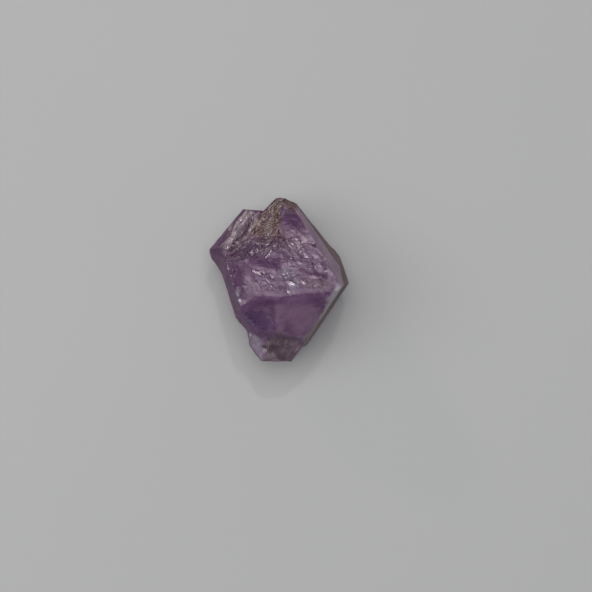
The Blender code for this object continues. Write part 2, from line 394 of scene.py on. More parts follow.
def skin_samples(directions, steps, triangles):
    """Four samples of the solid round each direction: (points, face normals), each (direction, sample, xyz).

    The four rays lean a quarter cell to each side along two tangents of the sphere. Each meets the plane
    of its triangle at distance (normal . corner) / (normal . ray).
    """
    normals = np.cross(triangles[:, 1] - triangles[:, 0], triangles[:, 2] - triangles[:, 0])
    normals /= np.linalg.norm(normals, axis=1, keepdims=True)
    aside = outward(33, 21)  # parallel to none of the directions
    first = np.cross(directions, aside)
    first /= np.linalg.norm(first, axis=1, keepdims=True)
    second = np.cross(directions, first)
    lean = math.pi / 2 / steps / 2
    rays = np.stack([directions + lean * (a * first + b * second) for a in (-1, 1) for b in (-1, 1)], 1)
    met = faces_met(rays.reshape(-1, 3), triangles).reshape(-1, 4)
    normal = normals[met]
    reach = np.einsum("vsi,vsi->vs", normal, triangles[met, 0]) / np.einsum("vsi,vsi->vs", normal, rays)
    return rays * reach[..., None], normal


def snapped(points, normals, steps):
    """Each direction's vertex, pulled onto the edge or corner between the faces that its samples meet.

    The vertex starts at the samples' mean. It moves by the least-squares solution of lying on all four
    sample planes, with a small pull back to the start, and by no more than one cell.
    """
    start = points.mean(axis=1)
    hold = 0.05
    system = np.einsum("vsi,vsj->vij", normals, normals) + hold * np.eye(3)
    miss = np.einsum("vsi,vsi->vs", normals, points - start[:, None])
    move = np.linalg.solve(system, np.einsum("vsi,vs->vi", normals, miss)[..., None])[..., 0]
    cell = np.linalg.norm(start, axis=1) * math.pi / 2 / steps
    length = np.linalg.norm(move, axis=1)
    return start + move * np.minimum(1, cell / np.maximum(length, 1e-9))[:, None]


def scattered(places, seed):
    """A value from 0 to 1 for each whole-number place, hashed so that neighbours have nothing in common."""
    spread = places * (73856093, 19349663, 83492791)[:places.shape[1]]
    mixed = np.bitwise_xor.reduce(spread, axis=1) ^ (seed * 668265263)
    mixed = ((mixed ^ (mixed >> 13)) * 1274126177) & 0x7FFFFFFF
    mixed = ((mixed ^ (mixed >> 15)) * 2246822519) & 0x7FFFFFFF
    return ((mixed >> 8) & 0xFFFF) / 0xFFFF


def lattice_noise(points, seed):
    """Smooth random heights from -1 to 1.

    Each corner of a point's unit cube has a scattered value, and the eight values are blended with the
    eased distances to the cube's sides.
    """
    base = np.floor(points).astype(np.int64)
    part = points - base
    part = part * part * (3 - 2 * part)
    total = np.zeros(len(points))
    for corner in np.ndindex(2, 2, 2):
        total += np.prod(np.where(corner, part, 1 - part), axis=1) * scattered(base + corner, seed)
    return 2 * total - 1


def layered_noise(points, seed, layers=3):
    """Noise plus finer noise, each layer at twice the detail and half the height of the one before."""
    return sum(lattice_noise(points * 2.0 ** i, seed + i) / 2 ** i for i in range(layers))


def scallops(flat, seed, bowl=0.5, rise=0.35, bright=None, chance=0.0):
    """Shallow etched dishes that meet in sharp crests: (height, dish tint, crest mask).

    Each unit cell has a dish at a scattered centre: a plane with a scattered tilt, plus the bowl times the
    square of the distance to the centre, plus a scattered rise. By this chance, the plane has the bright
    slopes instead and the dish is flat. The surface is the least of the nine nearest dishes, and the
    crest mask is 1 where the two lowest are level.
    """
    base = np.floor(flat).astype(np.int64)
    heights, tints = [], []
    for cell in np.ndindex(3, 3):
        place = base + cell - 1
        across, up, slope_x, slope_y, lift, tint = (scattered(place, seed + i) for i in range(6))
        x = flat[:, 0] - place[:, 0] - 0.5 - 0.8 * (across - 0.5)
        y = flat[:, 1] - place[:, 1] - 0.5 - 0.8 * (up - 0.5)
        height = (2 * slope_x - 1) * x + (2 * slope_y - 1) * y + bowl * (x * x + y * y)
        if bright is not None:
            height = np.where(tint > 1 - chance, bright[:, 0] * x + bright[:, 1] * y, height)
        heights.append(height + rise * lift)
        tints.append(tint)
    heights, tints = np.stack(heights), np.stack(tints)
    least = heights.argmin(axis=0)
    order = np.sort(heights, axis=0)
    tint = np.take_along_axis(tints, least[None], axis=0)[0]
    return order[0], tint, 1 - ease(0.04, 0.16, order[1] - order[0])


def stepped(values):
    """Whole steps with short risers: the whole part, plus the eased last fifth of the fraction."""
    whole = np.floor(values)
    return whole + ease(0.8, 1.0, values - whole)


def alike(normals, face, spread):
    """1 within six tenths of the spread, in degrees, of a crystal face's normal, falling to 0 at it."""
    far, near = math.cos(math.radians(spread)), math.cos(math.radians(spread * 0.6))
    return ease(far, near, normals @ outward(*face))


def face_shares(points, normals):
    """How much each vertex belongs to each kind of face, from 0 to 1: the mean over its four samples."""
    x, y, z = points[..., 0], points[..., 1], points[..., 2]
    rise = normals[..., 2]
    lobe = ease(-0.08, 0.08, np.interp(x, *LOBE_TOP) - y) * ease(0.35, 0.5, rise) * ease(3.35, 3.5, z)
    lobe *= 1 - alike(normals, LOWER_BEVEL, 14)
    wrap = ease(1.35, 1.75, -y) * (1 - ease(2.65, 2.75, -y)) * ease(0.0, 0.4, -x)
    wrap = wrap * ease(-0.3, -0.1, rise) * ease(1.6, 2.2, z)
    lobe = np.maximum(lobe, wrap)
    foot = ease(2.6, 2.8, -y) * ease(0.2, 0.35, rise) * (1 - ease(3.35, 3.5, z))
    pale_foot = foot * alike(normals, PALE_FOOT, 20) * ease(0.75, 0.95, -x - 0.12 * (y + 3.3))
    striped = alike(normals, STRIPED_SIDE, 26)
    wall = 1 - np.minimum(1, lobe)
    shares = {
        "front": alike(normals, FRONT, 16) * ease(-1.0, -0.9, y) * (1 - lobe),
        "left_front": alike(normals, LEFT_FRONT, 20) * (1 - lobe),
        "growth": alike(normals, GROWTH, 16) + alike(normals, GROWTH_BROW, 16),
        "shoulder": alike(normals, SHOULDER_FLANK, 14) * ease(0.9, 1.2, -x),
        "valley": alike(normals, VALLEY_FLANK, 20) * ease(0.6, 1.0, -x),
        "side": (striped + alike(normals, LOWER_SIDE, 14)) * wall,
        "bevel": alike(normals, UPPER_BEVEL, 12),
        "low_bevel": alike(normals, LOWER_BEVEL, 10) * (1 - lobe),
        "rim": (1 - ease(0.22, 0.36, rise)) * ease(-0.2, 0.0, rise) * wall * (1 - striped),
        "back": 1 - ease(-0.3, -0.1, rise),
        "lobe": lobe,
        "foot": foot - pale_foot,
        "pale_foot": pale_foot,
    }
    return {name: np.clip(share, 0, 1).mean(axis=1) for name, share in shares.items()}


def ragged(shares, points, ends):
    """The shares with their borders made irregular: blurred, shifted by noise, and drawn tight again."""
    names = list(shares)
    blurred = softened(np.stack([shares[name] for name in names], 1), ends, 0.6, 5)
    shift = 0.3 * layered_noise(points / 0.25, 91)
    tight = {name: ease(0.4, 0.6, blurred[:, i] + shift) for i, name in enumerate(names)}
    return {name: tight[name] if name in RAGGED_FACES else shares[name] for name in names}


def bright_slopes(facing, first, second, height):
    """Slopes that turn each vertex's face to the common tilt, for cells with these two sides, in millimetres.

    Along a cell side d that lies in the face, the height changes by -(tilt . d) / (tilt . facing), where d
    has the side's x and y and the z that keeps it in the face. The divisors have a floor, and the slope a
    limit of a half.
    """
    tilt = outward(*ETCH_TILT)
    fall = -(tilt[:2] - tilt[2] * facing[:, :2] / np.maximum(facing[:, 2:], 0.3))
    fall /= np.maximum(facing @ tilt, 0.4)[:, None]
    fall *= np.minimum(1, 0.5 / np.maximum(np.linalg.norm(fall, axis=1), 1e-6))[:, None]
    return np.stack([fall @ np.array(first), fall @ np.array(second)], 1) / height


def relief(points, facing, shares, form):
    """The fine relief: (height above the solid's faces in metres, patch tint, crest mask, line mask, mask
    of the cells that have the common tilt).

    Seen from above, the etched faces have two sizes of scallops, in coordinates that noise bends. The
    growth faces have long narrow scallops in the coordinates (along, across) the striae. Steep faces have
    scallops in the coordinates (angle round the heart, height). Striae are noise drawn out along their
    length, and the front's steps are the sawtooth of a slope that noise bends. Whole numbers from 11 to
    171 are seeds.
    """
    x, y, z = points.T
    rise = facing[:, 2]
    scallop, stria = form.scallop_height / MM, form.striae_height / MM
    run_x, run_y = STRIAE_WAY
    along, over = run_x * x + run_y * y, run_x * y - run_y * x
    bend = np.stack([layered_noise(points / 0.7, 11), layered_noise(points / 0.7, 16)], 1)
    flat = points[:, :2] + 0.16 * bend
    coarse, patch, crest = scallops(flat / COARSE_CELL, 101)
    slopes = bright_slopes(facing, (FINE_CELL[0], 0), (0, FINE_CELL[1]), 0.5 * scallop)
    fine, small_patch, small_crest = scallops(
        (flat + 0.05 * bend) / FINE_CELL, 131, bright=slopes, chance=0.04)
    length, width = HATCH_CELL
    slopes = bright_slopes(
        facing, (length * run_x, length * run_y), (-width * run_y, width * run_x), 0.9 * stria)
    strokes = np.stack([along / length, over / width], 1) + 0.3 * bend
    strokes = strokes + 0.15 * layered_noise(points / 0.2, 17)[:, None]
    hatch, hatch_patch, hatch_crest = scallops(strokes, 171, bright=slopes, chance=0.12)
    turn = np.arctan2(y - HEART[1], x - HEART[0])
    wall = np.stack([turn * GIRTH_RADIUS, z], 1) + 0.1 * bend
    wall_coarse, wall_patch, wall_crest = scallops(wall / WALL_CELL, 151, rise=0.2)
    wall_fine, _, _ = scallops(wall / FINE_WALL_CELL, 157)
    striae = layered_noise(np.stack([over / 0.22 + 0.4 * bend[:, 0], along / 1.5, z / 1.5], 1), 21, 2)
    slope = 4.0 * y + 1.3 * layered_noise(np.stack([x / 1.1, y / 0.45, z], 1), 31)
    steps = stepped(slope) - slope
    streaks = layered_noise(np.stack([(x * 0.87 + y * 0.49) / 0.12, (y * 0.87 - x * 0.49) / 1.6, z], 1), 51)
    ribs = layered_noise(np.stack([(x * 0.9 + y * 0.44) / 0.2, (y * 0.9 - x * 0.44) / 0.9, z / 0.5], 1), 61)
    swell = layered_noise(points / 0.8, 71)
    rings = np.sin(np.hypot(x + 2.9, y + 0.6) / 0.036 + 2.5 * layered_noise(points / 0.9, 75))
    rings = rings * ease(-0.1, 0.4, layered_noise(points / 0.6, 77))
    calm = (1 - 0.6 * near_lines(points, DARK_PATCHES)) * (1 - 0.5 * near_lines(points, FRONT_RIDGES))
    band = near_lines(points, BRIGHT_BANDS) * (rise > 0.2)
    etched = calm * shares["front"] + 0.8 * shares["left_front"]
    gentle = 0.22 * shares["lobe"] + 0.9 * shares["foot"]
    grown = shares["growth"] + 0.8 * shares["shoulder"] + 0.3 * shares["valley"] + 0.6 * band
    walls = 0.8 * shares["side"] + 0.6 * shares["rim"] + 0.8 * shares["back"] * ease(-0.97, -0.9, rise)
    domes = [1 - ease(0, radius, np.hypot(x - east, y - north)) for east, north, radius in LOBE_DOMES]
    # Each row is a weight, a height, a pattern that is set a little lower, and the faces that have it.
    height = (
        form.dome_height * np.max(domes, axis=0) * shares["lobe"]
        + 0.42 * form.scallop_height * (coarse - 0.3) * (etched + gentle)
        + 0.45 * form.scallop_height * (fine - 0.3) * (etched + 0.6 * gentle + 0.3 * shares["growth"])
        + 0.6 * form.step_height * (steps + 0.2) * calm * shares["front"] * ease(0.6, -0.5, y)
        + 0.6 * form.striae_height * (striae - 0.3) * grown
        + 0.65 * form.striae_height * (hatch - 0.2) * grown
        + 0.6 * form.striae_height * near_lines(points, STRANDS) * (rise > 0.2)
        + 0.5 * form.striae_height * (streaks - 0.2) * (shares["bevel"] + 0.5 * shares["low_bevel"])
        + 0.4 * form.striae_height * (ribs - 0.3) * shares["side"]
        + 0.6 * form.scallop_height * (wall_coarse - 0.3) * walls
        + 0.3 * form.scallop_height * (wall_fine - 0.3) * walls
        + form.swell_height * (swell - 0.4) * (shares["lobe"] + shares["foot"] + etched)
        + 0.05 * form.swell_height * rings * shares["lobe"]
    )
    wall_share, grown_share = np.clip(walls, 0, 1), np.clip(grown, 0, 1)
    tint = 0.65 * patch + 0.35 * small_patch
    tint = tint + wall_share * (wall_patch - tint) + grown_share * (hatch_patch - tint)
    line = np.maximum(0.9 * crest, 0.6 * small_crest)
    line = line + wall_share * (wall_crest - line)
    strand = ease(-0.25, 0.45, striae)
    grown_lines = strand * (0.35 + 0.65 * hatch_crest) + 0.45 * hatch_crest * hatch_patch
    grown_lines = grown_lines + shares["side"] * (ease(-0.1, 0.5, ribs) - grown_lines)
    small_glint = 0.5 * np.clip(etched, 0, 1) * (small_patch > 0.96)
    glint = np.maximum(grown_share * (hatch_patch > 0.88), small_glint)
    return height, tint, line, np.clip(grown_lines, 0, 1), glint


def neighbour_mean(values, ends):
    """Each vertex's values averaged over the vertices that share an edge with it."""
    count = np.bincount(ends[:, 0], minlength=len(values))
    sums = [np.bincount(ends[:, 0], weights=column[ends[:, 1]], minlength=len(values)) for column in values.T]
    return np.stack(sums, 1) / count[:, None]


def softened(values, ends, strength, rounds):
    """The values after some rounds of moving this share of the way to their neighbours' mean."""
    for _ in range(rounds):
        values = values + strength * (neighbour_mean(values, ends) - values)
    return values


def line_distance(points, line):
    """Distance, seen from above, to the nearest place on the line between two places.

    That place is the start plus the clipped share t of the line, t being the offset . line / line . line.
    """
    start, end = np.array(line[:2]), np.array(line[2:])
    along = np.clip((points[:, :2] - start) @ (end - start) / np.sum((end - start) ** 2), 0, 1)
    return np.linalg.norm(points[:, :2] - start - along[:, None] * (end - start), axis=1)


def near_lines(points, lines):
    """1 on any of these lines (x, y, x, y, width) seen from above, falling to 0 at the width from it."""
    shares = [1 - ease(0.3 * width, width, line_distance(points, line)) for *line, width in lines]
    return np.max(shares, axis=0)


def bent(points, reach, size, seed):
    """The points, all their coordinates moved alike by the reach times noise of this size."""
    return points + reach * layered_noise(points / size, seed)[:, None]


def line_shares(places, rise):
    """The masks of LINE_MASKS: each is 1 on its bent lines, on faces that rise far enough."""
    return {name: near_lines(places[way], lines) * (rise > least)
            for name, (lines, way, least) in LINE_MASKS.items()}


def clustered_flats(random):
    """Small etch facets strewn along each cluster's line, as rows (x, y, x, y, radius)."""
    rows = []
    for x, y, end_x, end_y, spread, count, aim in GLINT_CLUSTERS:
        share = random.random((count, 1))
        start = np.array([x, y]) + share * (end_x - x, end_y - y) + random.normal(0, 0.5 * spread, (count, 2))
        lean = math.radians(aim) + random.normal(0, 0.3, count)
        reach = random.uniform(0.0, SMALL_FLAT_LENGTH, count)
        end = start + np.stack([reach * np.cos(lean), reach * np.sin(lean)], 1)
        rows.append(np.column_stack([start, end, random.uniform(*SMALL_FLAT_RADII, count)]))
    return np.concatenate(rows)


def etch_flats(points, facing, lift):
    """The lift with small flat etch facets let in, all tilted alike, and a mask of where they are.

    On a facet, the lift is the distance along the face normal to the plane through the facet's nearest
    vertex that has the common tilt. A window that fades away from the facet's line lets it in.
    """
    tilt = outward(*ETCH_TILT)
    mask = np.zeros(len(points))
    out_of_reach = 10.0 * (facing[:, 2] < 0.3)
    for *line, radius in np.concatenate([ETCH_FLATS, clustered_flats(np.random.default_rng(FACET_SEED))]):
        gap = line_distance(points, line) + out_of_reach
        centre = points[gap.argmin()] + facing[gap.argmin()] * lift[gap.argmin()]
        share = 1 - ease(0.7 * radius, 1.5 * radius, gap)
        flat = ((centre - points) @ tilt) / np.maximum(facing @ tilt, 0.3)
        lift = lift + share * (np.clip(flat, -DEEPEST_FLAT, DEEPEST_FLAT) - lift)
        mask = np.maximum(mask, share)
    return lift, mask


def new_mesh_object(name, vertices, quads):
    """A new object in the scene, its mesh made from whole arrays."""
    mesh = bpy.data.meshes.new(name)
    mesh.vertices.add(len(vertices))
    mesh.vertices.foreach_set("co", vertices.astype(np.float32).ravel())
    mesh.loops.add(quads.size)
    mesh.loops.foreach_set("vertex_index", quads.astype(np.int32).ravel())
    mesh.polygons.add(len(quads))
    mesh.polygons.foreach_set("loop_start", np.arange(0, quads.size, quads.shape[1], dtype=np.int32))
    mesh.update(calc_edges=True)
    mesh.validate()
    made = bpy.data.objects.new(name, mesh)
    bpy.context.scene.collection.objects.link(made)
    return made


def crystal_skin(form):
    """The crystal's closed skin: a sphere of directions carried out to the solid's faces, plus the relief.

    A vertex lies at heart + the snapped point of its direction + relief times the mean face normal.
    The relief's lowest part goes inwards, so the skin stays inside the solid's box.
    """
    triangles = solid_triangles(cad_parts[NODE]) - HEART
    directions, quads = cube_sphere(form.grid_steps)
    ends = np.concatenate([quads[:, [a, (a + turn) % 4]] for a in range(4) for turn in (1, 3)])
    points, normals = skin_samples(directions, form.grid_steps, triangles)
    place = snapped(points, normals, form.grid_steps) + HEART
    shares = ragged(face_shares(points + HEART, normals), place, ends)
    facing = normals.mean(axis=1)
    worn = WEAR * near_lines(place, WORN_RIDGES)[:, None] * (facing[:, 2:] > 0)
    place = softened(softened(place, ends, 0.35, 1), ends, worn, WEAR_ROUNDS)
    facing = softened(facing, ends, worn, WEAR_ROUNDS)
    facing /= np.linalg.norm(facing, axis=1, keepdims=True)
    places = {"straight": place, "wander": bent(place, 0.12, 0.4, 95), "wisp": bent(place, 0.05, 0.2, 98)}
    wander = places["wander"]
    fringe = near_lines(wander, GROWTH_FRINGE) * shares["front"]
    shares["growth"] = shares["growth"] + fringe
    shares["front"] = shares["front"] - fringe
    lift, shares["patch"], shares["crest"], shares["stria"], glint = relief(place, facing, shares, form)
    lift, flat = etch_flats(place, facing, lift / MM)
    shares["flat"] = np.maximum(flat, 0.8 * glint)
    shares.update(line_shares(places, facing[:, 2]))
    shares["strand"] = shares["strand"] * (0.35 + 0.65 * ease(-0.25, 0.25, lattice_noise(place / 0.11, 97)))
    shares["high"] = ease(1.5, 2.3, wander[:, 1] + 0.3 * wander[:, 0])
    # The left-hand steep faces: painted darker there as shade, and made duller.
    shares["left"] = ease(-0.3, -1.0, place[:, 0]) * (1 - ease(0.45, 0.65, facing[:, 2]))
    tip_x, tip_y, fall = WEDGE
    below = ease(0.04, -0.04, wander[:, 1] - (tip_y - fall * np.abs(wander[:, 0] - tip_x)))
    broken = np.maximum(shares["foot"], shares["lobe"])
    shares["foot"], shares["lobe"] = broken * below, broken * (1 - below)
    place = (place + facing * lift[:, None]) * GROWTH_UNIT
    low, high = (np.array(corner) for corner in solid_box)
    made = new_mesh_object("rough_diamond_skin", np.clip(place, low, high), quads)
    for name, share in shares.items():
        made.data.attributes.new(name, "FLOAT", "POINT").data.foreach_set("value", share.astype(np.float32))
    made.data.shade_smooth()
    made.data.set_sharp_from_angle(angle=math.radians(SHARP_ANGLE))
    return made


def node(tree, kind, values=None, **settings):
    """A new shader node with its settings. Each input is set, or linked to a socket or a named mask."""
    made = tree.nodes.new(kind)
    for setting, value in settings.items():
        setattr(made, setting, value)
    for key, value in (values or {}).items():
        if isinstance(value, str):
            value = node(tree, "ShaderNodeAttribute", attribute_name=value).outputs["Fac"]
        if isinstance(value, bpy.types.NodeSocket):
            tree.links.new(value, made.inputs[key])
        else:
            made.inputs[key].default_value = value
    return made


def new_group(name, inputs, outputs):
    """An empty shader node group, as (group, the sockets it is given, the sockets it puts out)."""
    group = bpy.data.node_groups.new(name, "ShaderNodeTree")
    for label, kind, default in inputs:
        socket = group.interface.new_socket(label, in_out="INPUT", socket_type=kind)
        socket.default_value = default
    for label in outputs:
        group.interface.new_socket(label, in_out="OUTPUT", socket_type="NodeSocketFloat")
    entry = group.nodes.new("NodeGroupInput")
    leave = group.nodes.new("NodeGroupOutput")
    return group, entry.outputs, leave.inputs


def striae_group():
    """Drawn-out streaks: noise in coordinates that are turned, and squeezed across the streaks."""
    group, given, result = new_group(
        "Growth Striae",
        [
            ("Vector", "NodeSocketVector", (0, 0, 0)),
            ("Turn", "NodeSocketFloat", 0.0),
            ("Across", "NodeSocketFloat", 9000.0),
            ("Along", "NodeSocketFloat", 900.0),
        ],
        ["Streak", "Fine"],
    )
    turned = node(group, "ShaderNodeVectorRotate", {"Vector": given["Vector"], "Angle": given["Turn"]},
                  rotation_type="Z_AXIS").outputs[0]
    pitch = node(group, "ShaderNodeCombineXYZ", {0: given["Along"], 1: given["Across"], 2: given["Along"]})
    drawn = node(group, "ShaderNodeVectorMath", {0: turned, 1: pitch.outputs[0]}, operation="MULTIPLY")
    broad = node(group, "ShaderNodeTexNoise", {"Vector": drawn.outputs[0], "Scale": 1.0, "Detail": 4.0})
    fine = node(group, "ShaderNodeTexNoise", {"Vector": drawn.outputs[0], "Scale": 3.7, "Detail": 3.0})
    group.links.new(broad.outputs[0], result["Streak"])
    group.links.new(fine.outputs[0], result["Fine"])
    return group


def etching_group():
    """Etched skin: cloudy patches, small cells with raised rims, and fine grain."""
    group, given, result = new_group(
        "Etched Skin",
        [("Vector", "NodeSocketVector", (0, 0, 0)), ("Cell", "NodeSocketFloat", 5000.0)],
        ["Cloud", "Cells", "Grain"],
    )
    warp = node(group, "ShaderNodeTexNoise", {"Vector": given["Vector"], "Scale": 2600.0, "Detail": 3.0})
    push = node(group, "ShaderNodeVectorMath", {0: warp.outputs[1], 3: 0.0002}, operation="SCALE")
    moved = node(group, "ShaderNodeVectorMath", {0: given["Vector"], 1: push.outputs[0]}, operation="ADD")
    cloud = node(group, "ShaderNodeTexNoise",
                 {"Vector": moved.outputs[0], "Scale": 2100.0, "Detail": 6.0, "Roughness": 0.6})
    cells = node(group, "ShaderNodeTexVoronoi", {"Vector": moved.outputs[0], "Scale": given["Cell"]},
                 feature="F1")
    grain = node(group, "ShaderNodeTexNoise", {"Vector": given["Vector"], "Scale": 11000.0, "Detail": 4.0})
    group.links.new(cloud.outputs[0], result["Cloud"])
    group.links.new(cells.outputs[0], result["Cells"])
    group.links.new(grain.outputs[0], result["Grain"])
    return group


class Shading:
    """A material's nodes, and short ways to add to them. A value is a number, a socket or a mask's name."""

    def __init__(self, tree):
        self.tree = tree
        self.place = tree.nodes.new("ShaderNodeTexCoord").outputs["Object"]

    def joined(self, operation, values):
        """The values taken together by a Math operation, one after another."""
        result = values[0]
        for value in values[1:]:
            result = node(self.tree, "ShaderNodeMath", {0: result, 1: value}, operation=operation).outputs[0]
        return result

    def product(self, *values):
        """The values multiplied."""
        return self.joined("MULTIPLY", values)

    def total(self, *values):
        """The values added."""
        return self.joined("ADD", values)

    def highest(self, *values):
        """The highest of the values."""
        return self.joined("MAXIMUM", values)

    def ranged(self, value, low, high, to_low=0.0, to_high=1.0):
        """The value mapped from one range to another, held at its ends."""
        ends = {"Value": value, "From Min": low, "From Max": high, "To Min": to_low, "To Max": to_high}
        return node(self.tree, "ShaderNodeMapRange", ends, clamp=True).outputs[0]

    def mixed(self, share, first, second):
        """The colour between first and second at this share."""
        return node(self.tree, "ShaderNodeMix", {0: share, 6: first, 7: second}, data_type="RGBA").outputs[2]

    def layered(self, ground, *layers):
        """The ground with each layer (share, colour) laid over it in turn."""
        for share, colour in layers:
            ground = self.mixed(share, ground, colour)
        return ground

    def streaks(self, group, turn, across, along):
        """The outputs of drawn-out streaks at this turn in degrees."""
        values = {"Vector": self.place, "Turn": math.radians(turn), "Across": across, "Along": along}
        return node(self.tree, "ShaderNodeGroup", values, node_tree=group).outputs


class CrystalPaint(Shading):
    """The crystal's colours and patterns, and the finish that is mixed from them face by face."""

    def __init__(self, tree, colour):
        super().__init__(tree)
        for name in PAINTS:
            setattr(self, name, (*getattr(colour, name), 1))
        self.ink = self.mixed(0.6, self.deep, BLACK)
        self.violet = self.mixed(0.35, self.deep, BLUE_VIOLET)

        striae = striae_group()
        self.diagonal = self.streaks(striae, *DIAGONAL_STREAKS)
        self.level = self.streaks(striae, *LEVEL_STREAKS)
        self.edgewise = self.streaks(striae, *EDGEWISE_STREAKS)
        values = {"Vector": self.place, "Cell": CELLS_PER_METRE}
        etched = node(tree, "ShaderNodeGroup", values, node_tree=etching_group()).outputs
        self.clouds, self.cells, self.grain = (etched[name] for name in ("Cloud", "Cells", "Grain"))

        self.cloud = self.ranged(self.clouds, 0.36, 0.66)
        self.patchy = self.total(self.product("patch", 0.6), self.product(self.cloud, 0.4))
        self.fibres = self.total(
            self.product(self.diagonal["Fine"], 0.5), self.product(self.level["Fine"], 0.5))
        self.dots = self.ranged(self.grain, 0.44, 0.58)
        self.thin = self.ranged(self.diagonal["Streak"], 0.52, 0.60, 0.0, 0.9)
        self.grown = self.highest("growth", "valley")
        self.outer = self.highest("rim", "low_bevel")
        unworn, level_place = (self.ranged(name, 0.0, 0.6, 1.0, 0.0) for name in ("worn", "left"))
        self.smooth = self.highest(self.product("lobe", unworn, level_place), "flat")
        self.mottled = self.mottling()

    def mottling(self):
        """Etched skin: haze in patches, pale crests, fibres and grain, and deep purple between them."""
        ranged, deep, pale = self.ranged, self.deep, self.pale
        return self.layered(
            self.mixed(ranged(self.patchy, 0.25, 0.85), self.body, self.haze),
            (ranged(self.clouds, 0.48, 0.36, 0.0, 0.7), deep),
            (self.product("crest", self.cloud, 0.8), pale),
            (ranged(self.fibres, 0.54, 0.64, 0.0, 0.45), pale),
            (ranged(self.fibres, 0.46, 0.38, 0.0, 0.6), deep),
            (ranged(self.grain, 0.54, 0.68, 0.0, 0.6), pale),
            (ranged(self.grain, 0.46, 0.34, 0.0, 0.7), deep),
        )

    def growth_paint(self):
        """Stained ground under raised striae, whose pale and tan lines are partly painted highlights, browner
        the higher it lies on the crystal.
        """
        mixed, ranged, product, pale, tan = self.mixed, self.ranged, self.product, self.pale, self.tan
        ground = mixed("high", self.deep, self.brown)
        return self.layered(
            ground,
            (product("stria", self.dots, 0.4), mixed("high", pale, tan)),
            (product(self.thin, ranged(self.dots, 0.0, 1.0, 0.3, 1.0)),
             mixed(ranged("high", 0.0, 1.0, 0.4, 1.0), pale, tan)),
            (ranged(self.diagonal["Streak"], 0.49, 0.42, 0.0, 0.9), ground),
        )

    def lobe_paint(self):
        """Glassy break: haze in patches, violet places, grain and dark fibres."""
        ranged, haze = self.ranged, self.haze
        return self.layered(
            self.mixed(self.product(self.patchy, 0.6), self.body, haze),
            (self.product("violet", ranged(self.patchy, 0.2, 0.8, 0.65, 0.25)), self.violet),
            (ranged(self.grain, 0.46, 0.34, 0.0, 0.5), self.deep),
            (ranged(self.grain, 0.54, 0.68, 0.0, 0.4), haze),
            (ranged(self.fibres, 0.48, 0.39, 0.0, 0.55), self.ink),
            (ranged(self.fibres, 0.54, 0.64, 0.0, 0.4), haze),
        )

    def upper_faces(self):
        """The front, growth face, shoulder, valley, side, bevels and rim, with painted glow, dust and stain,
        painted highlights on the striae, and painted shade on the left-hand faces and along the shoulder's
        outer edge.
        """
        mixed, ranged, product, mottled = self.mixed, self.ranged, self.product, self.mottled
        body, haze, deep, brown, tan, pale = self.body, self.haze, self.deep, self.brown, self.tan, self.pale
        cloud, patchy, dots = self.cloud, self.patchy, self.dots
        level_lines = ranged(self.level["Streak"], 0.42, 0.62)
        edge_lines = ranged(self.edgewise["Streak"], 0.4, 0.62)
        side = mixed(product("stria", 0.4), mixed(0.6, deep, brown), pale)
        return self.layered(
            body,
            ("front", mixed(product(level_lines, 0.35), mottled, body)),
            ("left_front", mixed(0.75, mottled, deep)),
            # Painted glow round the main glints and on the left.
            (product("clear_light", ranged(patchy, 0.1, 0.5)), self.clear_light_paint),
            (product("dusted", dots, 0.5), mixed(0.5, brown, tan)),
            ("growth", self.growth_paint()),
            ("shoulder", mixed(0.5, mixed(product("stria", 0.6), deep, pale), mottled)),
            ("valley", mixed(product(self.thin, dots, 0.45), mixed(0.5, brown, deep), tan)),
            # Deep purple patches, and painted shade along the shoulder's outer edge.
            (product("dark", ranged(patchy, 0.2, 0.8, 1.0, 0.6)), deep),
            ("side", mixed(0.45, side, mottled)),
            ("bevel", mixed(0.5, mixed(edge_lines, mottled, pale), mixed(patchy, haze, pale))),
            ("low_bevel", mixed(0.25, pale, mixed(edge_lines, brown, pale))),
            ("rim", mixed(product(patchy, cloud, 0.6), mixed(cloud, brown, body), haze)),
            (product(self.outer, "dusted", 0.75), mixed(product(patchy, 0.7), brown, tan)),
            # Painted shade on the left-hand steep faces.
            (product("left", ranged(cloud, 0.0, 1.0, 0.8, 0.35)), deep),
            (product("stained", 0.8), brown),
        )

    def broken_faces(self, skin):
        """The skin with the lobes and the painted light and shade on them, the foot, the pale edges on the
        right with their painted light, and the back laid over it.
        """
        mixed, ranged, product, cloud, patchy = self.mixed, self.ranged, self.product, self.cloud, self.patchy
        body, brown, pale, clear_light_paint = self.body, self.brown, self.pale, self.clear_light_paint
        lit = mixed(product(self.total(self.fibres, 0.2), 0.5), self.haze, pale)
        return self.layered(
            skin,
            ("lobe", self.lobe_paint()),
            # Painted light where light comes through the front and the lobes, pinker on the lobes.
            (product("light", ranged(cloud, 0.0, 1.0, 0.5, 0.95)), lit),
            (product("light", "lobe", ranged(patchy, 0.2, 0.8, 0.3, 0.7)), PAINTED_LOBE_LIGHT),
            # Painted shade: darker along the worn ridges at the lobes' top border.
            (product(ranged("worn", 0.4, 1.0), "lobe", 0.9), self.deep),
            (product("rippled", ranged(self.level["Fine"], 0.50, 0.42)), self.ink),
            ("foot", mixed(product(patchy, cloud, 0.8), brown, pale)),
            # The pale foot facet, partly in painted glow.
            ("pale_foot", mixed(ranged(cloud, 0.0, 1.0, 0.3, 0.9), body, mixed(0.5, pale, clear_light_paint))),
            # Painted light on the lower bevel's pale strip, and painted highlights along the right edges.
            (product("strip", ranged(patchy, 0.2, 0.7, 0.25, 0.9)), clear_light_paint),
            (product("strip", 0.65), WHITE),
            (product("edge", 0.5), pale),
            ("back", mixed(0.3, self.mottled, brown)),
        )

